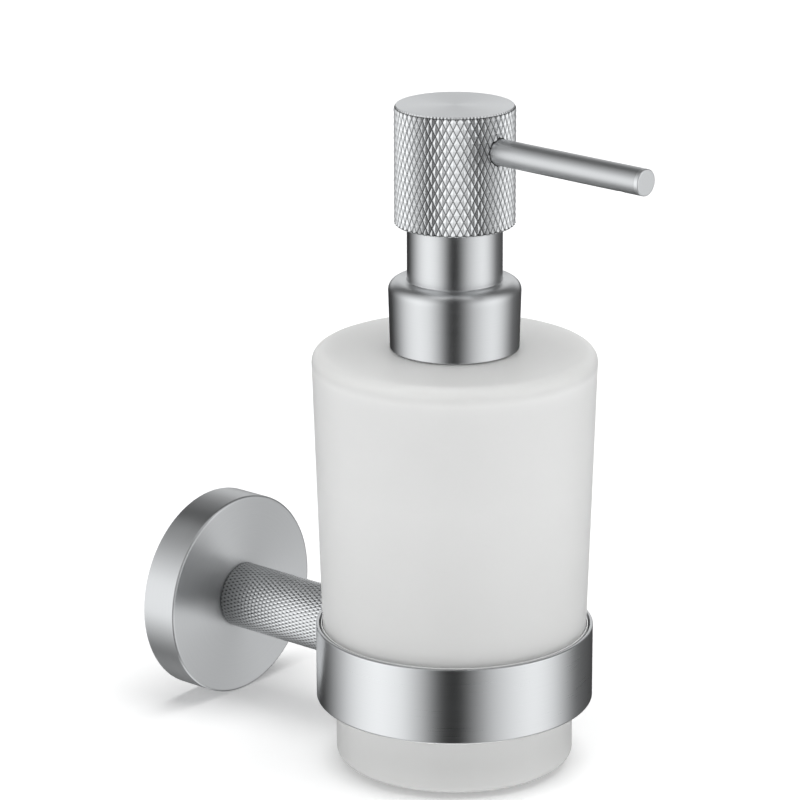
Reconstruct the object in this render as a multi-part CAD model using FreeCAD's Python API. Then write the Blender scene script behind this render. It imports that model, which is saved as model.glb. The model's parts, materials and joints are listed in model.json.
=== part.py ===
import FreeCAD, Part
import os
from math import cos, pi, radians, sin, sqrt, tan

from FreeCAD import Vector

# Wall mounted soap dispenser, in millimetres. The wall is the plane y = 0 and the object stands out
# from it towards -Y, with +Z up. The origin is on the wall, on the arm's axis. The bottle's axis is
# upright, at y = -reach.

# Clearances
FIT_GAP = 0.02      # between pieces that are seated on each other or screwed together
RUN_GAP = 0.05      # radial, between a shaft and its hole, or a piston and its barrel
SLIDE_GAP = 0.30    # radial, between the pump head and the sleeve that it slides over
GLASS_GAP = 0.30    # between the glass and the liner round it
SEAT_GAP = 0.02     # under a piece that rests on another body
PLATE_GAP = 0.20    # radial, between the wall plate and the rosette over it
HOLE_GAP = 0.20     # radial, round a screw in a plain hole
TIP_ROOM = 1.0      # past a screw's end in its hole
OVER = 1.0          # how far a cutter runs past the face that it cuts

# Wall bracket
reach = 83.1                # wall to the bottle's axis
rosette_radius = 26.7
rosette_depth = 10.3
rosette_side_wall = 2.4
rosette_front_wall = 2.0
rosette_edge = 0.5          # chamfer at the rim of the front face
rosette_round = 0.6         # inside corner
plate_base = 3.0
plate_height = 6.5
plate_rim = 4.0             # width of the raised rim
plate_round = 0.8
groove_depth = 1.4          # 90 degree V groove round the plate
groove_height = 4.2         # of the groove and the grub screw above the wall
slot_spacing = 30.0
slot_length = 8.0
slot_width = 5.0
grub_radius = 1.95
grub_socket = 2.0           # across flats
grub_socket_depth = 1.3
grub_chamfer = 0.2
grub_sunk = 0.3             # below the rosette's side
grub_tip_gap = 0.15         # from the point to the bottom of the groove
arm_radius = 8.6
arm_chamfer = 0.35
arm_screw_radius = 2.95     # M6
arm_screw_depth = 12.0      # into the arm
arm_screw_head_radius = 5.25
arm_screw_head = 3.3
arm_screw_socket = 4.0
arm_screw_socket_depth = 2.0
arm_screw_crown = 1.6       # height of the sloping part of the head
arm_screw_slope = 2.0       # its width
screw_tip = 0.5             # chamfer at a screw's end
washer_thickness = 1.4
washer_radius = 5.4
washer_slit = 0.8
pin_radius = 1.0
pin_offset = 6.2            # from the arm's axis
pin_depth = 4.0             # into the arm
pin_sunk = 0.05             # in the rosette
pin_room = 0.2              # past the pin's end

# Holder ring and its liner
ring_radius = 35.0
ring_height = 19.4
ring_rim_wall = 0.9
ring_low_wall = 4.1
ring_edge = 0.4
ring_inner_edge = 0.2
ledge_depth = 4.5           # from the rim down to the ledge
ring_screw_radius = 2.45    # M5
ring_screw_head_radius = 4.6
ring_screw_length = 14.0
ring_screw_socket = 3.0
ring_screw_socket_depth = 1.8
ring_screw_land = 0.25      # straight edge of the head
ring_screw_sunk = 0.1       # in the ring's bore
liner_wall = 0.35
liner_rim_gap = 0.25        # shadow gap between the rim and the liner's top edge
liner_flange = 1.0
liner_sleeve_wall = 0.6
liner_lip = 0.3             # shows under the ring
liner_lip_inset = 0.7       # from the ring's outside

# Glass bottle
foot_length = 31.5          # from the seat down to the bottom
body_length = 75.1          # from the seat up to the shoulder's edge
shoulder_radius = 35.55
shoulder_round = 3.0
shoulder_rise = 0.5
foot_round = 1.9
step_root = 0.3             # where the foot meets the seat
step_edge = 0.4
glass_wall = 3.0
glass_floor = 5.0
inner_round = 2.0
inner_step = 2.0            # height of the slope inside the seat
inner_step_round = 1.0
neck_wall = 3.3
neck_length = 12.6
neck_edge = 0.4
neck_root_inside = 1.0

# Pump, from the piston outwards
barrel_bore = 6.0           # radius
barrel_wall = 1.4
neck_space = 2.4            # between the barrel and the neck's bore
barrel_foot = 1.5           # height of the slope under the barrel
tail_wall = 1.25            # round the dip tube
flange_thickness = 1.2
flange_inset = 0.3          # from the neck's outside
gasket_thickness = 1.0
cap_wall = 1.9
cap_top = 1.6
cap_skirt_gap = 0.6         # above the shoulder
cap_edge = 0.4
collar_wall = 0.95
collar_flare = 0.5          # the collar is wider at the top by this much
collar_shoulder_gap = 0.2   # above the glass
collar_round = 2.6
collar_edge = 0.2
sleeve_root = 1.0           # fillet between the collar and its sleeve
sleeve_wall = 0.8
chaplet_wall = 1.2
chaplet_length = 7.4
chaplet_top = 2.0
chaplet_edge = 0.6
chaplet_hole_edge = 0.3
chaplet_space = 2.38        # between the chaplet and the sleeve's bore
stroke = 12.0
stem_radius = 3.5
stem_bore = 1.8
stem_stop = 1.0             # thickness and extra radius of the stem's upper stop
stem_edge = 0.4
piston_length = 7.0
piston_waist = 0.9          # how much thinner the piston is between its lips
piston_lip = 1.4
piston_lip_edge = 0.6       # width of a lip, and height of the slope behind it
piston_hollow = 0.7         # depth of the hollow inside a lip
piston_float = 1.2
seat_flange = 1.3
seat_inset = 0.25           # from the middle of the spring's wire to the flange's edge
seat_flange_edge = 0.3
seat_tail = 7.0
seat_tail_radius = 1.8
seat_tail_edge = 0.4
seat_plug = 6.0
port_width = 0.9            # slots that let the liquid into the stem
port_height = 6.5
port_core = 0.8             # radius left between the slots
spring_solid = 8.6          # length of the spring when the head is down
spring_wire = 0.45          # radius
spring_coils = 6.5
spring_space = 0.5          # between the spring and the barrel
cage_thickness = 1.4
cage_ring = 2.0
cage_bar = 1.2
ball_radius = 2.5
ball_lift = 1.5
ball_room = 0.7             # round the ball
ball_hole = 1.4
ball_seat_land = 1.0        # under the ball's cone
tube_radius = 3.45          # dip tube
tube_wall = 1.0
tube_socket = 10.0
tube_floor_gap = 1.8
tube_slant = 40.0           # degrees, of the cut at its foot

# Pump head and spout
head_wall = 2.82
head_top_wall = 3.6
head_edge = 0.45
head_rim_edge = 0.3
head_bore_edge = 0.2
head_ceiling_round = 0.8
head_stop_gap = 2.2         # head to collar when pushed down
sleeve_cover = 3.3          # of the sleeve inside the head at rest
core_clearance = 0.7        # sleeve to core when pushed down
core_wall = 0.83            # under the spout
core_boss_wall = 2.4        # round the stem
core_boss_length = 9.5
core_boss_edge = 0.4
core_chamfer = 1.0
spout_radius = 3.27
spout_bore = 2.2
spout_reach = 60.4          # pump axis to the spout's end
spout_above = 5.9           # from the spout's axis to the head's inner ceiling
spout_turn = -3.2           # degrees that the head stands turned from straight out
spout_entry = 5.5           # pump axis to the spout tube's inner end
outlet_radius = 1.6
outlet_setback = 6.5
plug_disc = 1.2
plug_chamfer = 0.25
plug_length = 3.0

# Heights and radii that follow from the sizes above
plate_radius = rosette_radius - rosette_side_wall - PLATE_GAP
rosette_floor = rosette_depth - rosette_front_wall
arm_start = rosette_depth + FIT_GAP

rim_z = ring_height / 2
ledge_z = rim_z - ledge_depth
seat_z = ledge_z + liner_flange + SEAT_GAP
rim_bore = ring_radius - ring_rim_wall
low_bore = ring_radius - ring_low_wall
liner_top_bore = rim_bore - liner_rim_gap - liner_wall
liner_low_bore = low_bore - FIT_GAP - liner_sleeve_wall
foot_radius = liner_low_bore - GLASS_GAP
cone_radius = liner_top_bore - GLASS_GAP
ring_screw_face = low_bore + ring_screw_sunk

foot_z = seat_z - foot_length
shoulder_z = seat_z + body_length
neck_foot_z = shoulder_z + shoulder_rise
neck_top_z = neck_foot_z + neck_length

barrel_radius = barrel_bore + barrel_wall
spring_radius = barrel_bore - spring_space - spring_wire
seat_radius = spring_radius - seat_inset
neck_bore = barrel_radius + neck_space
neck_radius = neck_bore + neck_wall
cap_bore = neck_radius + RUN_GAP
cap_radius = cap_bore + cap_wall
collar_bore = cap_radius + FIT_GAP
collar_radius = collar_bore + collar_wall
chaplet_bore = barrel_radius + FIT_GAP
chaplet_radius = chaplet_bore + chaplet_wall
sleeve_bore = chaplet_radius + chaplet_space
sleeve_radius = sleeve_bore + sleeve_wall
head_bore = sleeve_radius + SLIDE_GAP
head_radius = head_bore + head_wall
socket_radius = tube_radius + FIT_GAP
flange_radius = neck_radius - flange_inset

flange_z = neck_top_z + gasket_thickness + 2 * FIT_GAP
cap_top_z = flange_z + flange_thickness + FIT_GAP + cap_top
chaplet_top_z = flange_z + chaplet_length
housing_top_z = chaplet_top_z - chaplet_top
collar_z = neck_foot_z + collar_shoulder_gap
collar_top_z = cap_top_z + FIT_GAP + collar_wall
head_z = collar_top_z + stroke + head_stop_gap
sleeve_top_z = head_z + sleeve_cover
core_z = sleeve_top_z + stroke + core_clearance
spout_z = core_z + core_wall + spout_radius
ceiling_z = spout_z + spout_above
head_top_z = ceiling_z + head_top_wall

stop_z = flange_z + RUN_GAP                  # the chaplet's underside, where the stem's stop ends
piston_top_z = stop_z - stem_stop - piston_float - 2 * RUN_GAP
piston_z = piston_top_z - piston_length
seat_flange_z = piston_z - SEAT_GAP - seat_flange
spring_z = seat_flange_z - FIT_GAP - stroke - spring_solid
cage_z = spring_z - FIT_GAP - cage_thickness
ball_room_radius = ball_radius + ball_room
ball_cone_z = cage_z - ball_lift - ball_radius - RUN_GAP - ball_radius * sqrt(2) + ball_hole
ball_z = ball_cone_z - ball_hole + ball_radius * sqrt(2) + SEAT_GAP
tube_top_z = ball_cone_z - ball_seat_land
socket_z = tube_top_z - tube_socket
tube_z = foot_z + glass_floor + tube_floor_gap
stem_top_z = spout_z - spout_bore - core_wall


def rounded(before, here, after, radius):
    """Arc that rounds a corner, as its first point, its crown and its last point."""
    back = (before - here).normalize()
    ahead = (after - here).normalize()
    half = back.getAngle(ahead) / 2
    crown = here + (back + ahead).normalize() * (radius / sin(half) - radius)
    return here + back * (radius / tan(half)), crown, here + ahead * (radius / tan(half))


def outline(corners):
    """Closed flat face in the XZ plane from (x, z) corners; a third number rounds that corner."""
    points = [Vector(corner[0], 0, corner[1]) for corner in corners]
    stops = []
    for index, (here, corner) in enumerate(zip(points, corners)):
        after = points[(index + 1) % len(points)]
        if len(corner) == 3:
            stops.append(rounded(points[index - 1], here, after, corner[2]))
        else:
            stops.append((here,))
    edges = []
    for index, stop in enumerate(stops):
        if len(stop) == 3:
            edges.append(Part.Arc(*stop).toShape())
        leave = stop[-1]
        arrive = stops[(index + 1) % len(stops)][0]
        if leave.distanceToPoint(arrive) > 1e-6:
            edges.append(Part.LineSegment(leave, arrive).toShape())
    return Part.Face(Part.Wire(edges))


def turned(corners):
    """Solid turned round the Z axis from (radius, z) corners."""
    return outline(corners).revolve(Vector(0, 0, 0), Vector(0, 0, 1), 360)


def rod(radius, start, direction, length):
    """Plain cylinder from a start point along a direction."""
    return Part.makeCylinder(radius, length, Vector(*start), Vector(*direction))


def hexagon(across_flats, start, direction, depth):
    """Hexagonal prism for a socket."""
    corner_radius = across_flats / 2 / cos(radians(30))
    angles = [k * pi / 3 for k in range(7)]
    points = [Vector(corner_radius * cos(angle), corner_radius * sin(angle), 0) for angle in angles]
    prism = Part.Face(Part.makePolygon(points)).extrude(Vector(0, 0, depth))
    turn = FreeCAD.Rotation(Vector(0, 0, 1), Vector(*direction))
    prism.Placement = FreeCAD.Placement(Vector(*start), turn)
    return prism


def on_wall(shape):
    """Stands a piece that was turned round Z on the wall, so that its Z points out, along -Y."""
    shape = shape.copy()
    shape.rotate(Vector(0, 0, 0), Vector(1, 0, 0), 90)
    return shape


def on_bottle_axis(shape):
    """Puts a piece that was turned round Z on the bottle's axis."""
    shape = shape.copy()
    shape.translate(Vector(0, -reach, 0))
    return shape


def on_head(shape):
    """Puts a piece of the pump head on the bottle's axis, turned as the head stands."""
    shape = shape.copy()
    shape.rotate(Vector(0, 0, 0), Vector(0, 0, 1), spout_turn)
    return on_bottle_axis(shape)


# Wall bracket

def mounting_plate():
    """Disc with a raised rim, a V groove round the rim and two upright screw slots."""
    plate = turned([
        (0, 0),
        (plate_radius, 0),
        (plate_radius, groove_height - groove_depth),
        (plate_radius - groove_depth, groove_height),
        (plate_radius, min(groove_height + groove_depth, plate_height)),
        (plate_radius, plate_height),
        (plate_radius - plate_rim, plate_height),
        (plate_radius - plate_rim, plate_base, plate_round),
        (0, plate_base),
    ])
    half = (slot_length - slot_width) / 2
    depth = plate_base + 2 * OVER
    for side in (-1, 1):
        middle = side * slot_spacing / 2
        corner = Vector(-slot_width / 2, middle - half, -OVER)
        plate = plate.cut(Part.makeBox(slot_width, 2 * half, depth, corner))
        for end in (-half, half):
            plate = plate.cut(rod(slot_width / 2, (0, middle + end, -OVER), (0, 0, 1), depth))
    return on_wall(plate)


def rosette():
    """Cup over the plate, with holes for the arm's screw and pin and a threaded hole underneath."""
    inside = rosette_radius - rosette_side_wall
    cup = turned([
        (rosette_radius, 0),
        (rosette_radius, rosette_depth - rosette_edge),
        (rosette_radius - rosette_edge, rosette_depth),
        (0, rosette_depth),
        (0, rosette_floor),
        (inside, rosette_floor, rosette_round),
        (inside, 0),
    ])
    behind = rosette_floor - OVER
    front = rosette_front_wall + 2 * OVER
    below = -rosette_radius - OVER
    side = rosette_side_wall + 2 * OVER
    cup = cup.cut(rod(arm_screw_radius + HOLE_GAP, (0, 0, behind), (0, 0, 1), front))
    cup = cup.cut(rod(pin_radius + FIT_GAP, (0, pin_offset, behind), (0, 0, 1), front))
    cup = cup.cut(rod(grub_radius + FIT_GAP, (0, below, groove_height), (0, 1, 0), side))
    return on_wall(cup)


def grub_screw():
    """Set screw with a hexagon socket outside and a 90 degree cone point in the plate's groove."""
    tip = plate_radius - groove_depth + grub_tip_gap
    outer = rosette_radius - grub_sunk
    screw = turned([
        (0, tip),
        (grub_radius, tip + grub_radius),
        (grub_radius, outer - grub_chamfer),
        (grub_radius - grub_chamfer, outer),
        (0, outer),
    ])
    floor = outer - grub_socket_depth
    screw = screw.cut(hexagon(grub_socket, (0, 0, floor), (0, 0, 1), grub_socket_depth + OVER))
    screw.rotate(Vector(0, 0, 0), Vector(1, 0, 0), 180)
    screw.translate(Vector(0, -groove_height, 0))
    return screw


def arm():
    """Round bar from the rosette to the ring, saddle cut to the ring and threaded at both ends."""
    end = reach - low_bore
    bar = turned([
        (0, arm_start),
        (arm_radius - arm_chamfer, arm_start),
        (arm_radius, arm_start + arm_chamfer),
        (arm_radius, end),
        (0, end),
    ])
    before = arm_start - OVER
    screw_hole = OVER + arm_screw_depth + TIP_ROOM
    pin_hole = OVER + pin_depth + pin_room
    ring_hole = ring_screw_sunk + ring_screw_length + TIP_ROOM
    bar = bar.cut(rod(arm_screw_radius + FIT_GAP, (0, 0, before), (0, 0, 1), screw_hole))
    bar = bar.cut(rod(pin_radius + FIT_GAP, (0, pin_offset, before), (0, 0, 1), pin_hole))
    bar = bar.cut(rod(ring_screw_radius + FIT_GAP, (0, 0, end + OVER), (0, 0, -1), OVER + ring_hole))
    bar = on_wall(bar)
    saddle = rod(ring_radius + FIT_GAP, (0, -reach, -2 * arm_radius), (0, 0, 1), 4 * arm_radius)
    return bar.cut(saddle)


def locating_pin():
    """Dowel between the rosette and the arm."""
    start = (0, pin_offset, rosette_floor + pin_sunk)
    return on_wall(rod(pin_radius, start, (0, 0, 1), rosette_front_wall + pin_depth))


def arm_screw():
    """Button head screw, from inside the rosette into the arm."""
    seat = rosette_floor - FIT_GAP - washer_thickness - FIT_GAP
    top = seat - arm_screw_head
    end = rosette_depth + arm_screw_depth
    screw = turned([
        (0, top),
        (arm_screw_head_radius - arm_screw_slope, top),
        (arm_screw_head_radius, top + arm_screw_crown),
        (arm_screw_head_radius, seat),
        (arm_screw_radius, seat),
        (arm_screw_radius, end - screw_tip),
        (arm_screw_radius - screw_tip, end),
        (0, end),
    ])
    depth = OVER + arm_screw_socket_depth
    return on_wall(screw.cut(hexagon(arm_screw_socket, (0, 0, top - OVER), (0, 0, 1), depth)))


def arm_washer():
    """Split spring washer under the arm screw's head."""
    front = rosette_floor - FIT_GAP
    back = front - washer_thickness
    inner = arm_screw_radius + HOLE_GAP
    washer = turned([
        (inner, back),
        (washer_radius, back),
        (washer_radius, front),
        (inner, front),
    ])
    corner = Vector(0, -washer_slit / 2, back - OVER)
    depth = washer_thickness + 2 * OVER
    return on_wall(washer.cut(Part.makeBox(washer_radius + OVER, washer_slit, depth, corner)))


# Holder ring

def holder_ring():
    """Turned ring with a thin rim, a ledge for the liner and a countersunk hole for its screw."""
    low = -rim_z
    ring = turned([
        (low_bore, low, ring_inner_edge),
        (ring_radius, low, ring_edge),
        (ring_radius, rim_z, ring_edge),
        (rim_bore, rim_z, ring_inner_edge),
        (rim_bore, ledge_z),
        (low_bore, ledge_z),
    ])
    head_hole = ring_screw_head_radius + FIT_GAP
    plain_hole = ring_screw_radius + HOLE_GAP
    land = ring_screw_face + ring_screw_land + RUN_GAP
    hole = turned([
        (0, low_bore - OVER),
        (head_hole, low_bore - OVER),
        (head_hole, land),
        (plain_hole, land + head_hole - plain_hole),
        (plain_hole, ring_radius + OVER),
        (0, ring_radius + OVER),
    ])
    hole.rotate(Vector(0, 0, 0), Vector(1, 0, 0), -90)
    return on_bottle_axis(ring.cut(hole))


def ring_screw():
    """Countersunk screw with a hexagon socket, from inside the ring into the arm."""
    face = ring_screw_face
    land = face + ring_screw_land
    end = face + ring_screw_length
    screw = turned([
        (0, face),
        (ring_screw_head_radius, face),
        (ring_screw_head_radius, land),
        (ring_screw_radius, land + ring_screw_head_radius - ring_screw_radius),
        (ring_screw_radius, end - screw_tip),
        (ring_screw_radius - screw_tip, end),
        (0, end),
    ])
    depth = OVER + ring_screw_socket_depth
    screw = screw.cut(hexagon(ring_screw_socket, (0, 0, face - OVER), (0, 0, 1), depth))
    screw.rotate(Vector(0, 0, 0), Vector(1, 0, 0), -90)
    return on_bottle_axis(screw)


def ring_liner():
    """Plastic insert: thin upper wall, flange on the ledge, sleeve down the bore and a lip underneath."""
    low = -rim_z
    outer_top = rim_bore - liner_rim_gap
    return on_bottle_axis(turned([
        (liner_low_bore, low - liner_lip),
        (ring_radius - liner_lip_inset, low - liner_lip),
        (ring_radius - liner_lip_inset, low - FIT_GAP),
        (low_bore - FIT_GAP, low - FIT_GAP),
        (low_bore - FIT_GAP, ledge_z + FIT_GAP),
        (rim_bore - FIT_GAP, ledge_z + FIT_GAP),
        (rim_bore - FIT_GAP, ledge_z + liner_flange / 2),
        (outer_top, ledge_z + liner_flange),
        (outer_top, rim_z),
        (liner_top_bore, rim_z),
        (liner_top_bore, ledge_z + liner_flange),
        (liner_low_bore, ledge_z + liner_flange),
    ]))


# Bottle

def bottle():
    """Glass bottle: foot, step, slightly opening body, shoulder and neck, with an even wall."""
    shoulder_in = shoulder_z - glass_wall
    step_in = seat_z + glass_wall
    return on_bottle_axis(turned([
        (0, foot_z),
        (foot_radius, foot_z, foot_round),
        (foot_radius, seat_z, step_root),
        (cone_radius, seat_z, step_edge),
        (shoulder_radius, shoulder_z, shoulder_round),
        (neck_radius, neck_foot_z),
        (neck_radius, neck_top_z, neck_edge),
        (neck_bore, neck_top_z, neck_edge),
        (neck_bore, shoulder_in + shoulder_rise, neck_root_inside),
        (shoulder_radius - glass_wall, shoulder_in, inner_round),
        (cone_radius - glass_wall, step_in, inner_step_round),
        (foot_radius - glass_wall, step_in - inner_step, inner_step_round),
        (foot_radius - glass_wall, foot_z + glass_floor, inner_round),
        (0, foot_z + glass_floor),
    ]))


# Pump

def collar():
    """Metal shell round the cap, with the guide sleeve for the head standing on it."""
    top_in = collar_top_z - collar_wall
    flared = collar_radius + collar_flare
    return on_bottle_axis(turned([
        (collar_bore, collar_z),
        (collar_radius, collar_z, collar_edge),
        (flared, collar_top_z, collar_round),
        (sleeve_radius, collar_top_z, sleeve_root),
        (sleeve_radius, sleeve_top_z, collar_edge),
        (sleeve_bore, sleeve_top_z),
        (sleeve_bore, top_in),
        (collar_bore, top_in),
    ]))


def closure_cap():
    """Plastic screw cap: skirt round the neck and a top that holds the housing's flange down."""
    inner_top = cap_top_z - cap_top
    return on_bottle_axis(turned([
        (cap_bore, neck_foot_z + cap_skirt_gap),
        (cap_radius, neck_foot_z + cap_skirt_gap, cap_edge),
        (cap_radius, cap_top_z, cap_edge),
        (chaplet_radius + RUN_GAP, cap_top_z),
        (chaplet_radius + RUN_GAP, inner_top),
        (cap_bore, inner_top),
    ]))


def neck_gasket():
    """Flat ring between the glass and the housing's flange."""
    low = neck_top_z + FIT_GAP
    inner = barrel_radius + FIT_GAP
    return on_bottle_axis(turned([
        (inner, low),
        (flange_radius, low),
        (flange_radius, low + gasket_thickness),
        (inner, low + gasket_thickness),
    ]))


def pump_housing():
    """Barrel with a flange, a rim for the chaplet, the ball's room and seat, and the tube's socket."""
    tail = socket_radius + tail_wall
    return on_bottle_axis(turned([
        (socket_radius, socket_z),
        (tail, socket_z),
        (tail, ball_cone_z),
        (barrel_radius, cage_z - barrel_foot),
        (barrel_radius, flange_z),
        (flange_radius, flange_z),
        (flange_radius, flange_z + flange_thickness),
        (barrel_radius, flange_z + flange_thickness),
        (barrel_radius, housing_top_z),
        (barrel_bore, housing_top_z),
        (barrel_bore, cage_z),
        (ball_room_radius, cage_z),
        (ball_room_radius, ball_cone_z + ball_room_radius - ball_hole),
        (ball_hole, ball_cone_z),
        (ball_hole, tube_top_z),
        (socket_radius, tube_top_z),
    ]))


def chaplet():
    """Cap of the housing: a skirt outside the rim, a plug inside the barrel and a hole for the stem."""
    low = flange_z + flange_thickness + FIT_GAP
    inner_top = housing_top_z + FIT_GAP
    hole = stem_radius + RUN_GAP
    return on_bottle_axis(turned([
        (hole, stop_z),
        (barrel_bore - FIT_GAP, stop_z),
        (barrel_bore - FIT_GAP, inner_top),
        (chaplet_bore, inner_top),
        (chaplet_bore, low),
        (chaplet_radius, low),
        (chaplet_radius, chaplet_top_z, chaplet_edge),
        (hole, chaplet_top_z, chaplet_hole_edge),
    ]))


def stem():
    """Hollow rod with a stop that rests under the chaplet."""
    stop = stem_radius + stem_stop
    top_of_stop = stop_z - RUN_GAP
    return on_bottle_axis(turned([
        (stem_bore, piston_z),
        (stem_radius, piston_z),
        (stem_radius, top_of_stop - stem_stop),
        (stop, top_of_stop - stem_stop),
        (stop, top_of_stop),
        (stem_radius, top_of_stop),
        (stem_radius, stem_top_z, stem_edge),
        (stem_bore, stem_top_z),
    ]))


def piston():
    """Ring with a lip at each end, running in the barrel and on the stem."""
    outer = barrel_bore - RUN_GAP
    waist = outer - piston_waist
    inner = stem_radius + RUN_GAP
    low_lip = piston_z + piston_lip
    top_lip = piston_top_z - piston_lip
    hollow_top = piston_top_z - piston_hollow
    return on_bottle_axis(turned([
        (inner, piston_z),
        (outer - piston_lip_edge, piston_z + piston_hollow),
        (outer, piston_z),
        (outer, low_lip),
        (waist, low_lip + piston_lip_edge),
        (waist, top_lip - piston_lip_edge),
        (outer, top_lip),
        (outer, piston_top_z),
        (outer - piston_lip_edge, hollow_top),
        (inner, hollow_top),
    ]))


def piston_seat():
    """Plug in the stem's bore with a flange that the piston closes on, and cross slots for the liquid."""
    plug_radius = stem_bore - FIT_GAP
    low = seat_flange_z
    top = low + seat_flange
    seat = turned([
        (0, low - seat_tail),
        (seat_tail_radius, low - seat_tail, seat_tail_edge),
        (seat_tail_radius, low),
        (seat_radius, low, seat_flange_edge),
        (seat_radius, top),
        (plug_radius, top),
        (plug_radius, top + seat_plug),
        (0, top + seat_plug),
    ])
    core = rod(port_core, (0, 0, top - OVER), (0, 0, 1), port_height + 2 * OVER)
    for turn in (0, 90):
        corner = Vector(-stem_radius, -port_width / 2, top)
        slot = Part.makeBox(2 * stem_radius, port_width, port_height, corner)
        slot.rotate(Vector(0, 0, 0), Vector(0, 0, 1), turn)
        seat = seat.cut(slot.cut(core))
    return on_bottle_axis(seat)


def spring():
    """Coil spring between the cage and the piston seat."""
    height = seat_flange_z - spring_z - 2 * (spring_wire + FIT_GAP)
    start = spring_z + spring_wire + FIT_GAP
    helix = Part.makeHelix(height / spring_coils, height, spring_radius)
    helix.translate(Vector(0, 0, start))
    wire = Part.makeCircle(spring_wire, Vector(spring_radius, 0, start), Vector(0, 1, 0))
    section = Part.Wire(wire)
    coil = Part.Wire(helix.Edges).makePipeShell([section], True, True)
    return on_bottle_axis(coil)


def ball_cage():
    """Ring with two crossed bars over the ball, pressed into the barrel's foot."""
    outer = barrel_bore - FIT_GAP
    inner = outer - cage_ring
    low = cage_z + FIT_GAP
    top = cage_z + cage_thickness
    ring = turned([
        (inner, low),
        (outer, low),
        (outer, top),
        (inner, top),
    ])
    reach_in = inner + cage_ring / 2
    for turn in (0, 90):
        corner = Vector(-reach_in, -cage_bar / 2, low)
        bar = Part.makeBox(2 * reach_in, cage_bar, top - low, corner)
        bar.rotate(Vector(0, 0, 0), Vector(0, 0, 1), turn)
        ring = ring.fuse(bar)
    return on_bottle_axis(ring.removeSplitter())


def inlet_ball():
    """Ball resting on the housing's cone."""
    ball = Part.makeSphere(ball_radius)
    ball.translate(Vector(0, 0, ball_z))
    return on_bottle_axis(ball)


def dip_tube():
    """Straight tube with a slanting cut at the foot."""
    length = tube_top_z - FIT_GAP - tube_z
    tube = rod(tube_radius, (0, 0, tube_z), (0, 0, 1), length)
    tube = tube.cut(rod(tube_radius - tube_wall, (0, 0, tube_z - OVER), (0, 0, 1), length + 2 * OVER))
    half = 3 * tube_radius
    wedge = Part.makeBox(2 * half, 2 * half, 2 * half, Vector(-half, -half, -2 * half))
    wedge.rotate(Vector(0, 0, 0), Vector(0, 1, 0), tube_slant)
    wedge.translate(Vector(0, 0, tube_z + tube_radius * tan(radians(tube_slant))))
    return on_bottle_axis(tube.cut(wedge))


# Pump head

def head_shell():
    """Metal cup with a hole in its side for the spout."""
    shell = turned([
        (head_bore, head_z, head_bore_edge),
        (head_radius, head_z, head_rim_edge),
        (head_radius, head_top_z, head_edge),
        (0, head_top_z),
        (0, ceiling_z),
        (head_bore, ceiling_z, head_ceiling_round),
    ])
    hole = rod(spout_radius + FIT_GAP, (0, 0, spout_z), (0, -1, 0), head_radius + OVER)
    return on_head(shell.cut(hole))


def head_core():
    """Plastic body: disc with the spout's socket, and a boss that turns on the stem."""
    outer = head_bore - FIT_GAP
    stem_hole = stem_radius + RUN_GAP
    core = turned([
        (stem_hole, core_z - core_boss_length),
        (stem_hole + core_boss_wall, core_z - core_boss_length, core_boss_edge),
        (stem_hole + core_boss_wall, core_z),
        (outer, core_z),
        (outer, ceiling_z - core_chamfer),
        (outer - core_chamfer, ceiling_z - FIT_GAP),
        (0, ceiling_z - FIT_GAP),
        (0, spout_z + spout_bore),
        (stem_bore, spout_z + spout_bore),
        (stem_bore, stem_top_z + RUN_GAP),
        (stem_hole, stem_top_z + RUN_GAP),
    ])
    core = core.cut(rod(spout_radius + FIT_GAP, (0, -spout_entry, spout_z), (0, -1, 0), head_bore))
    channel = rod(stem_bore, (0, 0, spout_z), (0, -1, 0), spout_entry + OVER)
    return on_head(core.cut(channel))


def spout_tube():
    """Straight tube with the outlet hole on its underside."""
    start = spout_entry + FIT_GAP
    end = spout_reach - plug_disc - FIT_GAP
    tube = rod(spout_radius, (0, -start, spout_z), (0, -1, 0), end - start)
    bore = rod(spout_bore, (0, OVER - start, spout_z), (0, -1, 0), end - start + 2 * OVER)
    tube = tube.cut(bore)
    where = (0, outlet_setback - spout_reach, spout_z)
    outlet = rod(outlet_radius, where, (0, 0, -1), spout_radius + OVER)
    return on_head(tube.cut(outlet))


def spout_plug():
    """Flat disc with a short plug that closes the spout."""
    plug = turned([
        (0, 0),
        (spout_radius - plug_chamfer, 0),
        (spout_radius, plug_chamfer),
        (spout_radius, plug_disc),
        (spout_bore - FIT_GAP, plug_disc),
        (spout_bore - FIT_GAP, plug_disc + plug_length),
        (0, plug_disc + plug_length),
    ])
    plug.rotate(Vector(0, 0, 0), Vector(1, 0, 0), -90)
    plug.translate(Vector(0, -spout_reach, spout_z))
    return on_head(plug)


PIECES = [
    mounting_plate, rosette, grub_screw, arm, locating_pin, arm_screw, arm_washer,
    holder_ring, ring_screw, ring_liner,
    bottle,
    collar, closure_cap, neck_gasket, pump_housing, chaplet, stem, piston, piston_seat,
    spring, ball_cage, inlet_ball, dip_tube,
    head_core, head_shell, spout_tube, spout_plug,
]


def main():
    os.makedirs("parts", exist_ok=True)
    for piece in PIECES:
        shape = piece()
        shape.exportStep("parts/" + piece.__name__ + ".step")
        print(piece.__name__, "valid" if shape.isValid() else "NOT VALID", round(shape.Volume, 2), "mm3")


main()
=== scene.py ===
import bmesh
import bpy
import json
from math import cos, pi, radians, sin, tan
from mathutils import Matrix, Quaternion, Vector


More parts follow.
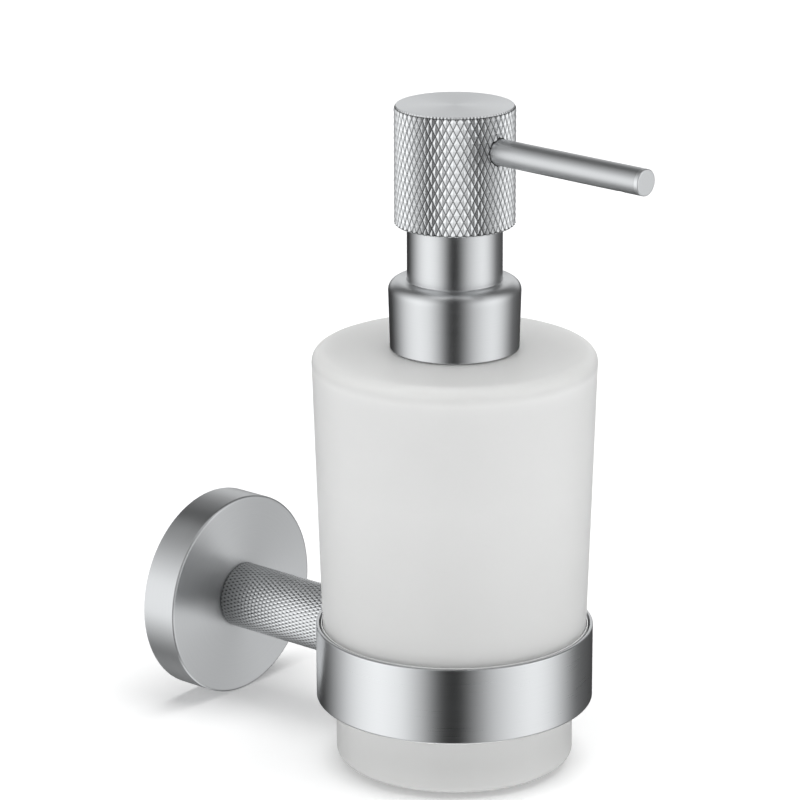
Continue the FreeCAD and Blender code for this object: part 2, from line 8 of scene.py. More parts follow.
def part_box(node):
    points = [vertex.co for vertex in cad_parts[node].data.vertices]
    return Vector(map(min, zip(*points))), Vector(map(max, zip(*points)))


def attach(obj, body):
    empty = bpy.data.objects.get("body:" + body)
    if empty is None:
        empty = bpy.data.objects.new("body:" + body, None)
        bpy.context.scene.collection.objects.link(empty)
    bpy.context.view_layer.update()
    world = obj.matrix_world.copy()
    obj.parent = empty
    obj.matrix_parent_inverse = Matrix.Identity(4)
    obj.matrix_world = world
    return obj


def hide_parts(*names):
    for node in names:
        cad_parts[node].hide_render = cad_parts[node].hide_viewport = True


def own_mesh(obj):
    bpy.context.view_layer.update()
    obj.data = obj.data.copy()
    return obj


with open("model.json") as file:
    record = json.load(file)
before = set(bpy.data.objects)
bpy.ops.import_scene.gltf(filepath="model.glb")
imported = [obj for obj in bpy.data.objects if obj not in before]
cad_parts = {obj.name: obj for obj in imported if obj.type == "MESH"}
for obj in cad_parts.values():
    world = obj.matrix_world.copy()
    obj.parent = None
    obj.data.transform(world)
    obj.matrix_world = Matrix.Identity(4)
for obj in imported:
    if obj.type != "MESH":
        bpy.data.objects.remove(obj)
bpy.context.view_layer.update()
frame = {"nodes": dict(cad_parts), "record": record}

mm = 0.001


# Where things are, in millimetres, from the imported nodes

def boxOf(node):
    low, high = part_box(node)
    return Vector(low) / mm, Vector(high) / mm


def halfWidth(low, high):
    return (high.x - low.x) / 2


rosetteLow, rosetteHigh = boxOf("rosette")
armLow, armHigh = boxOf("arm")
ringLow, ringHigh = boxOf("holder_ring")
linerLow = boxOf("ring_liner")[0]
bottleLow, bottleHigh = boxOf("bottle")
collarLow, collarHigh = boxOf("collar")
headLow, headHigh = boxOf("head_shell")
tubeLow, tubeHigh = boxOf("spout_tube")
springLow, springHigh = boxOf("spring")

axisY = (ringLow.y + ringHigh.y) / 2              # the bottle's axis stands at x = 0 and at this y
ringRadius = halfWidth(ringLow, ringHigh)
headRadius = halfWidth(headLow, headHigh)
onAxis = Matrix.Translation((0, axisY, 0))
onWall = Matrix.Rotation(radians(90), 4, "X")     # local Z points out of the wall


# Mesh tools

nearAxis = 1e-6                                   # a point nearer than this is on the axis


def arcPoints(before, here, after, radius, parts=7):
    # one corner of an outline as an arc, with a support point on each side of it
    back = (before - here).normalized()
    ahead = (after - here).normalized()
    half = back.angle(ahead) / 2
    reach = radius / tan(half)
    middle = here + (back + ahead).normalized() * (radius / sin(half))
    start = here + back * reach
    end = here + ahead * reach
    spoke = start - middle
    turn = pi - 2 * half
    if spoke.cross(end - middle) <= 0:
        turn = -turn
    support = radius * 0.3
    points = []
    if (before - start).length > 2 * support:
        points.append(start + back * support)
    points += [middle + Matrix.Rotation(turn * k / parts, 2) @ spoke for k in range(parts + 1)]
    if (after - end).length > 2 * support:
        points.append(end + ahead * support)
    return points


def outlinePoints(corners):
    # (radius, height) or (radius, height, rounding), once round the section
    flat = [Vector(corner[:2]) for corner in corners]
    points = []
    for index, corner in enumerate(corners):
        here = flat[index]
        before = flat[index - 1]
        after = flat[(index + 1) % len(flat)]
        if len(corner) == 3:
            points += arcPoints(before, here, after, corner[2])
        else:
            points.append(here)
    return points


def ringAt(work, point, steps):
    # where a point of the outline passes when it is turned about Z; on the axis it is one pole
    if point.x < nearAxis:
        return [work.verts.new((0, 0, point.y))]
    angles = [2 * pi * k / steps for k in range(steps)]
    return [work.verts.new((point.x * cos(angle), point.x * sin(angle), point.y)) for angle in angles]


def wholeCell(row, column, corners):
    return [corners]


def meshOfRings(name, work, rings, facesOfCell=wholeCell):
    # faces from each ring to the next one, and from the last back to the first
    for row, ring in enumerate(rings):
        following = rings[(row + 1) % len(rings)]
        steps = max(len(ring), len(following))
        if steps == 1:
            continue
        for column in range(steps):
            near = (column + 1) % steps
            if len(ring) == 1:
                work.faces.new((ring[0], following[near], following[column]))
            elif len(following) == 1:
                work.faces.new((ring[column], ring[near], following[0]))
            else:
                corners = (ring[column], ring[near], following[near], following[column])
                for face in facesOfCell(row, column, corners):
                    work.faces.new(face)
    bmesh.ops.recalc_face_normals(work, faces=work.faces)
    mesh = bpy.data.meshes.new(name)
    work.to_mesh(mesh)
    work.free()
    return mesh


def turnedMesh(name, corners, steps):
    # closed solid of revolution about Z
    work = bmesh.new()
    rings = [ringAt(work, point, steps) for point in outlinePoints(corners)]
    return meshOfRings(name, work, rings)


def rodMesh(radius, low, high, place, steps):
    mesh = turnedMesh("rod", [(0, low), (radius, low), (radius, high), (0, high)], steps)
    mesh.transform(place)
    return mesh


def inScene(name, data):
    item = bpy.data.objects.new(name, data)
    bpy.context.scene.collection.objects.link(item)
    return item


def plainMesh(holder, name):
    # evaluated object to a plain mesh, and the working object goes
    graph = bpy.context.evaluated_depsgraph_get()
    graph.update()
    mesh = bpy.data.meshes.new_from_object(holder.evaluated_get(graph))
    mesh.name = name
    holder.modifiers.clear()
    bpy.data.objects.remove(holder)
    return mesh


def cutAway(mesh, cutterMesh):
    # takes one closed mesh out of another
    holder = inScene(mesh.name + "Work", mesh)
    cutter = inScene(cutterMesh.name + "Work", cutterMesh)
    cut = holder.modifiers.new("cut", "BOOLEAN")
    cut.operation = "DIFFERENCE"
    cut.solver = "EXACT"
    cut.object = cutter
    result = plainMesh(holder, mesh.name)
    bpy.data.objects.remove(cutter)
    return result


def finishPiece(name, mesh, place, material, sharpAngle=28):
    # millimetres to metres, into place, shaded and given its finish
    mesh.transform(Matrix.Scale(mm, 4) @ place)
    for face in mesh.polygons:
        face.use_smooth = True
    mesh.set_sharp_from_angle(angle=radians(sharpAngle))
    mesh.materials.clear()
    mesh.materials.append(material)
    return inScene(name, mesh)


def standsFor(piece, node):
    body = next(name for name, nodes in frame["record"]["behaviour"]["bodies"].items() if node in nodes)
    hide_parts(node)
    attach(piece, body)


# Node tools

def socketOf(sockets, identifier):
    return next(socket for socket in sockets if socket.identifier == identifier)


class NodeBench:
    # short way to add and join nodes in one tree
    def __init__(self, tree):
        self.tree = tree

    def add(self, kind, **values):
        node = self.tree.nodes.new(kind)
        for key, value in values.items():
            setattr(node, key, value)
        return node

    def join(self, output, target):
        self.tree.links.new(output, target)

    def maths(self, operation, *inputs):
        node = self.add("ShaderNodeMath", operation=operation)
        for index, value in enumerate(inputs):
            if isinstance(value, (int, float)):
                node.inputs[index].default_value = value
            else:
                self.join(value, node.inputs[index])
        return node.outputs[0]

    def apart(self, vector):
        # the X, Y and Z of a vector, by name
        node = self.add("ShaderNodeSeparateXYZ")
        self.join(vector, node.inputs[0])
        return node.outputs

    def together(self, **values):
        # a vector from the named values; what isn't named is 0
        node = self.add("ShaderNodeCombineXYZ")
        for name, value in values.items():
            self.join(value, node.inputs[name])
        return node.outputs[0]

    def ramp(self, value, stops):
        # stops are (position, grey level or colour)
        node = self.add("ShaderNodeValToRGB")
        bar = node.color_ramp
        bar.interpolation = "LINEAR"
        while len(bar.elements) < len(stops):
            bar.elements.new(1.0)
        for element, (position, colour) in zip(bar.elements, stops):
            shade = (colour, colour, colour) if isinstance(colour, (int, float)) else colour
            element.position = position
            element.color = (*shade, 1)
        self.join(value, node.inputs["Fac"])
        return node.outputs["Color"]

    def swing(self, noise, low, high):
        # a noise keeps mostly between 0.3 and 0.7
        return self.ramp(noise, [(0.3, low), (0.7, high)])

    def multiplied(self, colour, shade):
        node = self.add("ShaderNodeMix", data_type="RGBA", blend_type="MULTIPLY")
        socketOf(node.inputs, "Factor_Float").default_value = 1.0
        self.join(colour, socketOf(node.inputs, "A_Color"))
        self.join(shade, socketOf(node.inputs, "B_Color"))
        return socketOf(node.outputs, "Result_Color")


def newTree(name, sizes):
    # modifier tree that is given geometry, the named sizes and a finish
    tree = bpy.data.node_groups.new(name, "GeometryNodeTree")
    tree.is_modifier = True
    tree.interface.new_socket("Geometry", in_out="INPUT", socket_type="NodeSocketGeometry")
    for size in sizes:
        tree.interface.new_socket(size, in_out="INPUT", socket_type="NodeSocketFloat")
    tree.interface.new_socket("Finish", in_out="INPUT", socket_type="NodeSocketMaterial")
    tree.interface.new_socket("Geometry", in_out="OUTPUT", socket_type="NodeSocketGeometry")
    bench = NodeBench(tree)
    return tree, bench, bench.add("NodeGroupInput").outputs


def endTree(bench, geometry, finish):
    real = bench.add("GeometryNodeRealizeInstances")
    bench.join(geometry, real.inputs[0])
    paint = bench.add("GeometryNodeSetMaterial")
    bench.join(real.outputs[0], paint.inputs["Geometry"])
    bench.join(finish, paint.inputs["Material"])
    bench.join(paint.outputs[0], bench.add("NodeGroupOutput").inputs[0])


def runTree(holder, tree, values):
    modifier = holder.modifiers.new(tree.name, "NODES")
    modifier.node_group = tree
    for item in tree.interface.items_tree:
        if item.in_out == "INPUT" and item.name in values:
            modifier[item.identifier] = values[item.name]


# Knurling: two crossed helical grooves cut into an outer wall, as Geometry Nodes

def readMark(bench, name):
    node = bench.add("GeometryNodeInputNamedAttribute", data_type="FLOAT")
    node.inputs["Name"].default_value = name
    return node.outputs["Attribute"]


def leaveMark(bench, geometry, name, value):
    node = bench.add("GeometryNodeStoreNamedAttribute", data_type="FLOAT", domain="POINT")
    node.inputs["Name"].default_value = name
    bench.join(geometry, node.inputs["Geometry"])
    bench.join(value, node.inputs["Value"])
    return node.outputs[0]


def knurlTree():
    sizes = ("Diamonds Round", "Diamond Height", "Start Height", "Depth", "Tip Share")
    tree, bench, given = newTree("knurlCut", sizes)
    spot = bench.apart(bench.add("GeometryNodeInputPosition").outputs[0])
    angle = bench.maths("ARCTAN2", spot["Y"], spot["X"])
    across = bench.maths("MULTIPLY", bench.maths("DIVIDE", angle, 2 * pi), given["Diamonds Round"])
    rise = bench.maths("SUBTRACT", spot["Z"], given["Start Height"])
    along = bench.maths("DIVIDE", rise, given["Diamond Height"])
    walls = []
    for groove in (bench.maths("ADD", across, along), bench.maths("SUBTRACT", across, along)):
        whole = bench.maths("ROUND", groove)
        walls.append(bench.maths("ABSOLUTE", bench.maths("SUBTRACT", groove, whole)))
    height = bench.maths("MULTIPLY", bench.maths("MINIMUM", *walls), 2)
    height = bench.maths("MINIMUM", bench.maths("DIVIDE", height, given["Tip Share"]), 1)
    # from -1 at a groove's bottom to 0 on a diamond's top and off the wall
    sunk = bench.maths("MULTIPLY", bench.maths("SUBTRACT", height, 1), readMark(bench, "knurled"))
    notEnd = bench.maths("SUBTRACT", 1, readMark(bench, "wallEnd"))
    grooveHeight = bench.maths("MULTIPLY", bench.maths("ADD", sunk, 1), notEnd)
    crossing = bench.maths("MULTIPLY", bench.maths("MAXIMUM", *walls), 2)
    geometry = leaveMark(bench, given["Geometry"], "grooveHeight", grooveHeight)
    geometry = leaveMark(bench, geometry, "crossing", crossing)
    outward = bench.add("ShaderNodeVectorMath", operation="NORMALIZE")
    bench.join(bench.together(X=spot["X"], Y=spot["Y"]), outward.inputs[0])
    offset = bench.add("ShaderNodeVectorMath", operation="SCALE")
    bench.join(outward.outputs[0], offset.inputs[0])
    bench.join(bench.maths("MULTIPLY", sunk, given["Depth"]), offset.inputs["Scale"])
    move = bench.add("GeometryNodeSetPosition")
    bench.join(geometry, move.inputs["Geometry"])
    bench.join(offset.outputs[0], move.inputs["Offset"])
    endTree(bench, move.outputs[0], given["Finish"])
    return tree


def knurledMesh(name, wall, below, above, knurl, finish):
    # wall is (radius, low, high); below and above are outline points that close the solid round it
    radius, low, high = wall
    fine = 8                                      # columns and rows to one diamond
    steps = knurl["round"] * fine
    rows = round((high - low) / (knurl["height"] / fine))
    rise = (high - low) / rows
    points = [(Vector((radius, low + rise * row)), 1.0) for row in range(rows + 1)]
    points += [(point, 0.0) for point in outlinePoints(above + below)]
    work = bmesh.new()
    knurled = work.verts.layers.float.new("knurled")
    wallEnd = work.verts.layers.float.new("wallEnd")
    rings = []
    for row, (point, onKnurl) in enumerate(points):
        ring = ringAt(work, point, steps)
        for vertex in ring:
            vertex[knurled] = onKnurl
            vertex[wallEnd] = float(row in (0, rows))
        rings.append(ring)

    def splitCell(row, column, corners):
        # a cell of the wall is split along the groove nearest to it
        if row >= rows:
            return [corners]
        first, second, third, fourth = corners
        lean = (column + row + 1) % fine
        rake = (column - row) % fine
        if min(lean, fine - lean) < min(rake, fine - rake):
            return [(first, second, fourth), (second, third, fourth)]
        return [(first, second, third), (first, third, fourth)]

    mesh = meshOfRings(name, work, rings, splitCell)
    holder = inScene(name + "Work", mesh)
    runTree(holder, knurlTree(), {
        "Diamonds Round": float(knurl["round"]), "Diamond Height": rise * fine, "Start Height": low,
        "Depth": knurl["depth"], "Tip Share": knurl["tip"], "Finish": finish})
    return plainMesh(holder, name)


# Finishes

def newFinish(name):
    material = bpy.data.materials.new(name)
    material.use_nodes = True
    tree = material.node_tree
    tree.nodes.clear()
    bench = NodeBench(tree)
    shader = bench.add("ShaderNodeBsdfPrincipled")
    output = bench.add("ShaderNodeOutputMaterial")
    bench.join(shader.outputs[0], output.inputs[0])
    place = bench.add("ShaderNodeTexCoord").outputs["Object"]
    return material, bench, shader, place


def scaled(colour, share):
    return tuple(share * part for part in colour)


def grain(bench, place, scale, detail=2.0, roughness=0.5):
    noise = bench.add("ShaderNodeTexNoise")
    noise.inputs["Scale"].default_value = scale
    noise.inputs["Detail"].default_value = detail
    noise.inputs["Roughness"].default_value = roughness
    bench.join(place, noise.inputs["Vector"])
    return noise.outputs["Fac"]


def blended(bench, fine, cloud, fineShare):
    finePart = bench.maths("MULTIPLY", fine, fineShare)
    cloudPart = bench.maths("MULTIPLY", cloud, 1 - fineShare)
    return bench.maths("ADD", finePart, cloudPart)


def bumpFrom(bench, shader, height, strength, distance):
    bump = bench.add("ShaderNodeBump")
    bump.inputs["Strength"].default_value = strength
    bump.inputs["Distance"].default_value = distance
    bench.join(height, bump.inputs["Height"])
    bench.join(bump.outputs[0], shader.inputs["Normal"])


def letLightIn(shader, weight, depth):
    shader.inputs["Subsurface Weight"].default_value = weight
    shader.inputs["Subsurface Radius"].default_value = (1.0, 1.0, 1.0)
    shader.inputs["Subsurface Scale"].default_value = depth


satin = {"colour": (0.80, 0.81, 0.82), "dark": 0.965, "light": 1.02, "stretch": 0.72,
         "lines": 5200.0, "linesRoughness": 0.65, "linesDrift": 0.0004, "grain": 3500.0, "cloud": 60.0,
         "detail": 3.0, "fineShare": 0.7, "relief": 0.000002, "reliefStrength": 0.35}


def turningLines(bench, place, axis, centre):
    # fine lines left by turning: noise over the distance from the axis and the place along it,
    # drifting slowly all round
    shift = bench.add("ShaderNodeVectorMath", operation="SUBTRACT")
    bench.join(place, shift.inputs[0])
    shift.inputs[1].default_value = centre
    spot = bench.apart(shift.outputs[0])
    first, second = [spot[name] for name in "XYZ" if name != axis]
    squares = [bench.maths("MULTIPLY", value, value) for value in (first, second)]
    distance = bench.maths("SQRT", bench.maths("ADD", *squares))
    angle = bench.maths("ARCTAN2", first, second)
    drift = bench.maths("MULTIPLY", bench.maths("SINE", angle), satin["linesDrift"])
    line = bench.together(X=distance, Y=spot[axis], Z=drift)
    return grain(bench, line, satin["lines"], satin["detail"], satin["linesRoughness"])


def satinMetal(name, roughness, axis=None, centre=(0, 0, 0), tone=1.0, stretch=satin["stretch"], relief=True,
               grooves=None, outward=None):
    # roughness is (lowest, highest); with an axis the metal is turned about it
    material, bench, shader, place = newFinish(name)
    shader.inputs["Metallic"].default_value = 1.0
    if axis:
        mark = turningLines(bench, place, axis, centre)
        shader.inputs["Anisotropic"].default_value = stretch
        shader.inputs["Anisotropic Rotation"].default_value = 0.25      # highlights spread across the lines
        tangent = bench.add("ShaderNodeTangent", direction_type="RADIAL", axis=axis)
        bench.join(tangent.outputs[0], shader.inputs["Tangent"])
    else:
        mark = grain(bench, place, satin["grain"], satin["detail"])
    mottle = blended(bench, mark, grain(bench, place, satin["cloud"], satin["detail"]), satin["fineShare"])
    base = scaled(satin["colour"], tone)
    colour = bench.swing(mottle, scaled(base, satin["dark"]), scaled(base, satin["light"]))
    if grooves:
        # painted shade: the bottoms of the cut grooves, and the groove crossings on the arm, are darkened in
        # the colour
        for attribute, stops in grooves.items():
            cut = bench.add("ShaderNodeAttribute", attribute_name=attribute)
            colour = bench.multiplied(colour, bench.ramp(cut.outputs["Fac"], stops))
    if outward:
        # painted shade and light: the colour is darker beside the wall cover and brighter towards the holder
        share = bench.maths("DIVIDE", bench.apart(place)["Y"], -outward["length"])
        colour = bench.multiplied(colour, bench.ramp(share, outward["stops"]))
    bench.join(colour, shader.inputs["Base Color"])
    bench.join(bench.swing(mottle, *roughness), shader.inputs["Roughness"])
    if relief:
        bumpFrom(bench, shader, mark, satin["reliefStrength"], satin["relief"])
    return material


plastic = {"speck": 900.0, "cloud": 90.0, "fineShare": 0.4, "dark": 0.96, "glossiest": 0.9, "dullest": 1.12,
           "glowDepth": 0.002, "relief": 0.00002, "reliefStrength": 0.15}


def mouldedPlastic(name, colour, roughness, specular=0.4, glow=0.0):
    material, bench, shader, place = newFinish(name)
    speck = grain(bench, place, plastic["speck"])
    tone = blended(bench, speck, grain(bench, place, plastic["cloud"]), plastic["fineShare"])
    bench.join(bench.swing(tone, scaled(colour, plastic["dark"]), colour), shader.inputs["Base Color"])
    spread = bench.swing(tone, roughness * plastic["glossiest"], roughness * plastic["dullest"])
    bench.join(spread, shader.inputs["Roughness"])
    shader.inputs["Specular IOR Level"].default_value = specular
    letLightIn(shader, glow, plastic["glowDepth"])
    bumpFrom(bench, shader, speck, plastic["reliefStrength"], plastic["relief"])
    return material


frost = {"colour": (0.86, 0.86, 0.85), "dark": 0.985, "light": 1.01,
         "etch": 2600.0, "etchDetail": 4.0, "etchRoughness": 0.7, "cloud": 35.0, "fineShare": 0.35,
         "glossiest": (0.25, 0.368), "dullest": (0.75, 0.44), "ior": 1.5, "specular": 0.65,
         "glow": 0.85, "glowDepth": 0.009, "relief": 0.000012, "reliefStrength": 0.25,
         # painted shade: the glass colour is darker near the holder and on top; shades go by the height above
         # "from", as a share of "over", both in metres
         "from": -0.03, "over": 0.12,
         "paintedShadeByHeight": [(0.0, 0.80), (0.20, 0.83), (0.30, 0.80), (0.40, 0.87), (0.66, 1.0), (0.892, 1.0),
                      (0.905, 0.80), (0.928, 0.74), (1.0, 0.74)]}


def frostedGlass(name):
    material, bench, shader, place = newFinish(name)
    etch = grain(bench, place, frost["etch"], frost["etchDetail"], frost["etchRoughness"])
    tone = blended(bench, etch, grain(bench, place, frost["cloud"]), frost["fineShare"])
    dark, light = [scaled(frost["colour"], frost[share]) for share in ("dark", "light")]
    colour = bench.swing(tone, dark, light)
    # painted shade: the colour is darkened by height, near the holder and on top
    height = bench.maths("ADD", bench.apart(place)["Z"], -frost["from"])
    shade = bench.ramp(bench.maths("DIVIDE", height, frost["over"]), frost["paintedShadeByHeight"])
    bench.join(bench.multiplied(colour, shade), shader.inputs["Base Color"])
    bench.join(bench.ramp(etch, [frost["glossiest"], frost["dullest"]]), shader.inputs["Roughness"])
    shader.inputs["IOR"].default_value = frost["ior"]
    shader.inputs["Specular IOR Level"].default_value = frost["specular"]
    letLightIn(shader, frost["glow"], frost["glowDepth"])
    bumpFrom(bench, shader, etch, frost["reliefStrength"], frost["relief"])
    return material


bottleCentre = (0, axisY * mm, 0)
# painted shade in the knurl grooves and at the arm's groove crossings, darkened in the colour
headGroovePaintedShade = {"grooveHeight": [(0.0, 0.10), (0.10, 0.34), (0.25, 0.96), (0.42, 1.0)]}
armGroovePaintedShade = {"grooveHeight": [(0.0, 0.85), (0.4, 1.0)], "crossing": [(0.0, 0.04), (0.27, 0.22), (0.55, 1.0)]}
# painted shade beside the wall cover and painted light towards the holder, along the arm
armPaintedShade = {"length": 0.05, "stops": [(0.2, 0.50), (0.4, 0.76), (0.65, 1.0), (1.0, 1.0)]}

rosetteMetal = satinMetal("rosetteSatin", (0.29, 0.36), "Y", tone=0.90, stretch=0.86, relief=False)
armMetal = satinMetal("armSatin", (0.32, 0.40), tone=1.12, relief=False,
                      grooves=armGroovePaintedShade, outward=armPaintedShade)
ringMetal = satinMetal("ringSatin", (0.26, 0.34), "Z", bottleCentre, tone=0.96)
collarMetal = satinMetal("collarSatin", (0.31, 0.39), "Z", bottleCentre, tone=0.90)
headMetal = satinMetal("headSatin", (0.34, 0.42), "Z", bottleCentre, tone=1.15, stretch=0.3, relief=False,
                       grooves=headGroovePaintedShade)
spoutMetal = satinMetal("spoutSatin", (0.36, 0.44), tone=0.84)
# painted light: the plug has the spout's own metal, painted lighter to stand in for light on its end
tipMetalPaintedLighter = satinMetal("spoutTipSatinPaintedLighter", (0.36, 0.44), tone=1.03)
plateMetal = satinMetal("plateZinc", (0.36, 0.46), "Y")
screwMetal = satinMetal("screwSteel", (0.28, 0.36), "Y")
springMetal = satinMetal("springWire", (0.22, 0.30))
ballMetal = satinMetal("ballSteel", (0.10, 0.16), relief=False)
glassFinish = frostedGlass("frostedGlass")
linerFinish = mouldedPlastic("linerWhite", (0.90, 0.905, 0.90), 0.38, glow=0.2)
pumpFinish = mouldedPlastic("pumpWhite", (0.86, 0.865, 0.85), 0.35, glow=0.15)
tubeFinish = mouldedPlastic("dipTubeNatural", (0.88, 0.89, 0.88), 0.30, glow=0.4)
gasketFinish = mouldedPlastic("gasketSoft", (0.72, 0.72, 0.70), 0.62, specular=0.25)

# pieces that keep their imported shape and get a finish
carriedOver = [
    (plateMetal, ["mounting_plate"]),
    (screwMetal, ["grub_screw", "locating_pin", "arm_screw", "arm_washer", "ring_screw"]),
    (gasketFinish, ["neck_gasket"]),
    (pumpFinish, ["closure_cap", "pump_housing", "chaplet", "stem", "piston", "piston_seat", "ball_cage",
                  "head_core"]),
    (ballMetal, ["inlet_ball"]),
    (tubeFinish, ["dip_tube"])]
for finish, nodeNames in carriedOver:
    for nodeName in nodeNames:
        nodeMesh = frame["nodes"][nodeName].data
        for slotIndex in range(len(nodeMesh.materials)):
            nodeMesh.materials[slotIndex] = finish
        if not nodeMesh.materials:
            nodeMesh.materials.append(finish)
print("finishes ready")


# Wall bracket

rosette = {"edge": 0.6, "inner": 0.6, "sideWall": 2.4, "frontWall": 2.0, "grub": 2.0, "grubHeight": 4.2,
           "overcut": 1.0, "steps": 320, "holeSteps": 64}


def buildRosette():
    radius = halfWidth(rosetteLow, rosetteHigh)
    depth = -rosetteLow.y
    inside = radius - rosette["sideWall"]
    floor = depth - rosette["frontWall"]
    mesh = turnedMesh("rosetteCover", [
        (radius, 0), (radius, depth, rosette["edge"]), (0, depth),
        (0, floor), (inside, floor, rosette["inner"]), (inside, 0)], rosette["steps"])
    fromBelow = Matrix.Translation((0, 0, rosette["grubHeight"])) @ Matrix.Rotation(radians(90), 4, "X")
    hole = rodMesh(rosette["grub"], inside - rosette["overcut"], radius + rosette["overcut"], fromBelow,
                   rosette["holeSteps"])
    mesh = cutAway(mesh, hole)
    standsFor(finishPiece("rosetteCover", mesh, onWall, rosetteMetal), "rosette")


arm = {"round": 52, "height": 2.4, "depth": 0.13, "tip": 0.85, "chamfer": 0.3, "faceInset": 0.4,
       "saddleGap": 0.02, "spare": 1.2, "saddleSteps": 256}


def buildArm():
    radius = halfWidth(armLow, armHigh)
    start = -armHigh.y
    end = -armLow.y + arm["spare"]                # the saddle cuts this back to the ring
    wall = (radius, start + arm["chamfer"], end)
    below = [(0, start), (radius - arm["faceInset"], start)]
    mesh = knurledMesh("knurledArm", wall, below, [(0, end)], arm, armMetal)
    mesh.transform(onWall)
    saddle = rodMesh(ringRadius + arm["saddleGap"], -2 * radius, 2 * radius, onAxis, arm["saddleSteps"])
    mesh = cutAway(mesh, saddle)
    piece = finishPiece("knurledArm", mesh, Matrix(), armMetal, sharpAngle=20)
    standsFor(piece, "arm")


buildRosette()
buildArm()
print("wall bracket ready")


# Holder ring and liner

ring = {"edge": 0.4, "innerEdge": 0.15, "rimWall": 0.75, "lowWall": 4.1, "ledge": 4.5, "steps": 360}
liner = {"wall": 0.28, "rimGap": 0.5, "flange": 1.0, "sleeve": 0.6, "inset": 0.7, "gap": 0.02, "edge": 0.1,
         "steps": 320}


def buildRing():
    low, high = ringLow.z, ringHigh.z
    rimBore = ringRadius - ring["rimWall"]
    lowBore = ringRadius - ring["lowWall"]
    ledge = high - ring["ledge"]
    mesh = turnedMesh("holderRing", [
        (lowBore, low, ring["innerEdge"]), (ringRadius, low, ring["edge"]), (ringRadius, high, ring["edge"]),
        (rimBore, high, ring["innerEdge"]), (rimBore, ledge), (lowBore, ledge)], ring["steps"])
    standsFor(finishPiece("holderRing", mesh, onAxis, ringMetal), "holder_ring")
    gap, edge = liner["gap"], liner["edge"]
    outerTop = rimBore - liner["rimGap"]
    innerTop = outerTop - liner["wall"]
    inside = lowBore - gap - liner["sleeve"]
    lip = ringRadius - liner["inset"]
    flangeTop = ledge + liner["flange"]
    flangeMiddle = ledge + liner["flange"] / 2
    mesh = turnedMesh("ringLiner", [
        (inside, linerLow.z), (lip, linerLow.z, edge), (lip, low - gap), (lowBore - gap, low - gap),
        (lowBore - gap, ledge + gap), (rimBore - gap, ledge + gap), (rimBore - gap, flangeMiddle),
        (outerTop, flangeTop), (outerTop, high, edge), (innerTop, high, edge),
        (innerTop, flangeTop), (inside, flangeTop)], liner["steps"])
    standsFor(finishPiece("ringLiner", mesh, onAxis, linerFinish), "ring_liner")


buildRing()
print("holder ring ready")


# Bottle

bottle = {"foot": 29.98, "footRound": 1.9, "stand": 0.8, "standRound": 1.5, "dish": 0.62, "dishRise": 0.6,
          "dishDeep": 0.8, "seat": 6.22, "seatCorner": 0.3, "cone": 33.2, "coneEdge": 0.4, "shoulder": 35.55,
          "shoulderHeight": 81.32, "shoulderRound": 3.0, "rise": 0.5, "neck": 13.1, "neckRoot": 0.25,
          "neckBore": 9.8, "mouthEdge": 0.4, "wall": 3.0, "floor": 5.0, "innerStep": 2.0, "innerRound": 1.0,
          "innerWide": 2.0, "steps": 320}


def buildBottle():
    foot, cone, shoulder = bottle["foot"], bottle["cone"], bottle["shoulder"]
    neck, bore, mouthEdge = bottle["neck"], bottle["neckBore"], bottle["mouthEdge"]
    seat, top, rise = bottle["seat"], bottle["shoulderHeight"], bottle["rise"]
    wall, small, wide = bottle["wall"], bottle["innerRound"], bottle["innerWide"]
    low, high = bottleLow.z, bottleHigh.z
    floor = low + bottle["floor"]
    outside = [
        (0, low + bottle["dishDeep"]), (foot * bottle["dish"], low + bottle["dishRise"]),
        (foot * bottle["stand"], low, bottle["standRound"]), (foot, low, bottle["footRound"]),
        (foot, seat, bottle["seatCorner"]), (cone, seat, bottle["coneEdge"]),
        (shoulder, top, bottle["shoulderRound"]), (neck, top + rise, bottle["neckRoot"]),
        (neck, high, mouthEdge)]
    inside = [
        (bore, high, mouthEdge), (bore, top - wall + rise, small), (shoulder - wall, top - wall, wide),
        (cone - wall, seat + wall, small), (foot - wall, seat + wall - bottle["innerStep"], small),
        (foot - wall, floor, wide), (0, floor)]
    mesh = turnedMesh("frostedBottle", outside + inside, bottle["steps"])
    piece = finishPiece("frostedBottle", mesh, onAxis, glassFinish)
    piece.visible_glossy = False                  # the metal round it stays even
    standsFor(piece, "bottle")


buildBottle()
print("bottle ready")


# Pump

collar = {"radius": 16.02, "wall": 0.95, "flare": 0.5, "round": 2.6, "topHeight": 99.25, "sleeve": 11.8,
          "sleeveWall": 0.8, "root": 0.45, "edge": 0.2, "steps": 320}


def buildCollar():
    low, high = collarLow.z, collarHigh.z
    radius, sleeve, top = collar["radius"], collar["sleeve"], collar["topHeight"]
    bore = radius - collar["wall"]
    sleeveBore = sleeve - collar["sleeveWall"]
    ceiling = top - collar["wall"]
    mesh = turnedMesh("pumpCollar", [
        (bore, low), (radius, low, collar["edge"]), (radius + collar["flare"], top, collar["round"]),
        (sleeve, top, collar["root"]), (sleeve, high, collar["edge"]), (sleeveBore, high),
        (sleeveBore, ceiling), (bore, ceiling)], collar["steps"])
    standsFor(finishPiece("pumpCollar", mesh, onAxis, collarMetal), "collar")


spout = {"turn": -3.2, "radius": 3.27, "bore": 2.2, "inner": 5.52, "end": 60.4, "disc": 1.2, "chamfer": 0.3,
         "outlet": 1.6, "outletBack": 6.5, "outletSteps": 64, "fit": 0.02, "plugDeep": 3.0, "steps": 160,
         "shadowGap": 0.15, "cutterStart": 1.0, "overcut": 2.0, "cutterSteps": 96}
spoutTurn = Matrix.Rotation(radians(spout["turn"]), 4, "Z")
spoutRoot = onAxis @ Matrix.Translation((0, 0, (tubeLow.z + tubeHigh.z) / 2))
alongSpout = spoutRoot @ spoutTurn @ onWall       # local Z runs out along the spout

head = {"round": 53, "height": 3.5, "depth": 0.36, "tip": 0.9, "edge": 0.42, "topInset": 0.47,
        "rimEdge": 0.25, "rimInset": 0.4, "rimRound": 0.2, "wall": 2.82, "top": 3.6, "ceilingRound": 0.8}


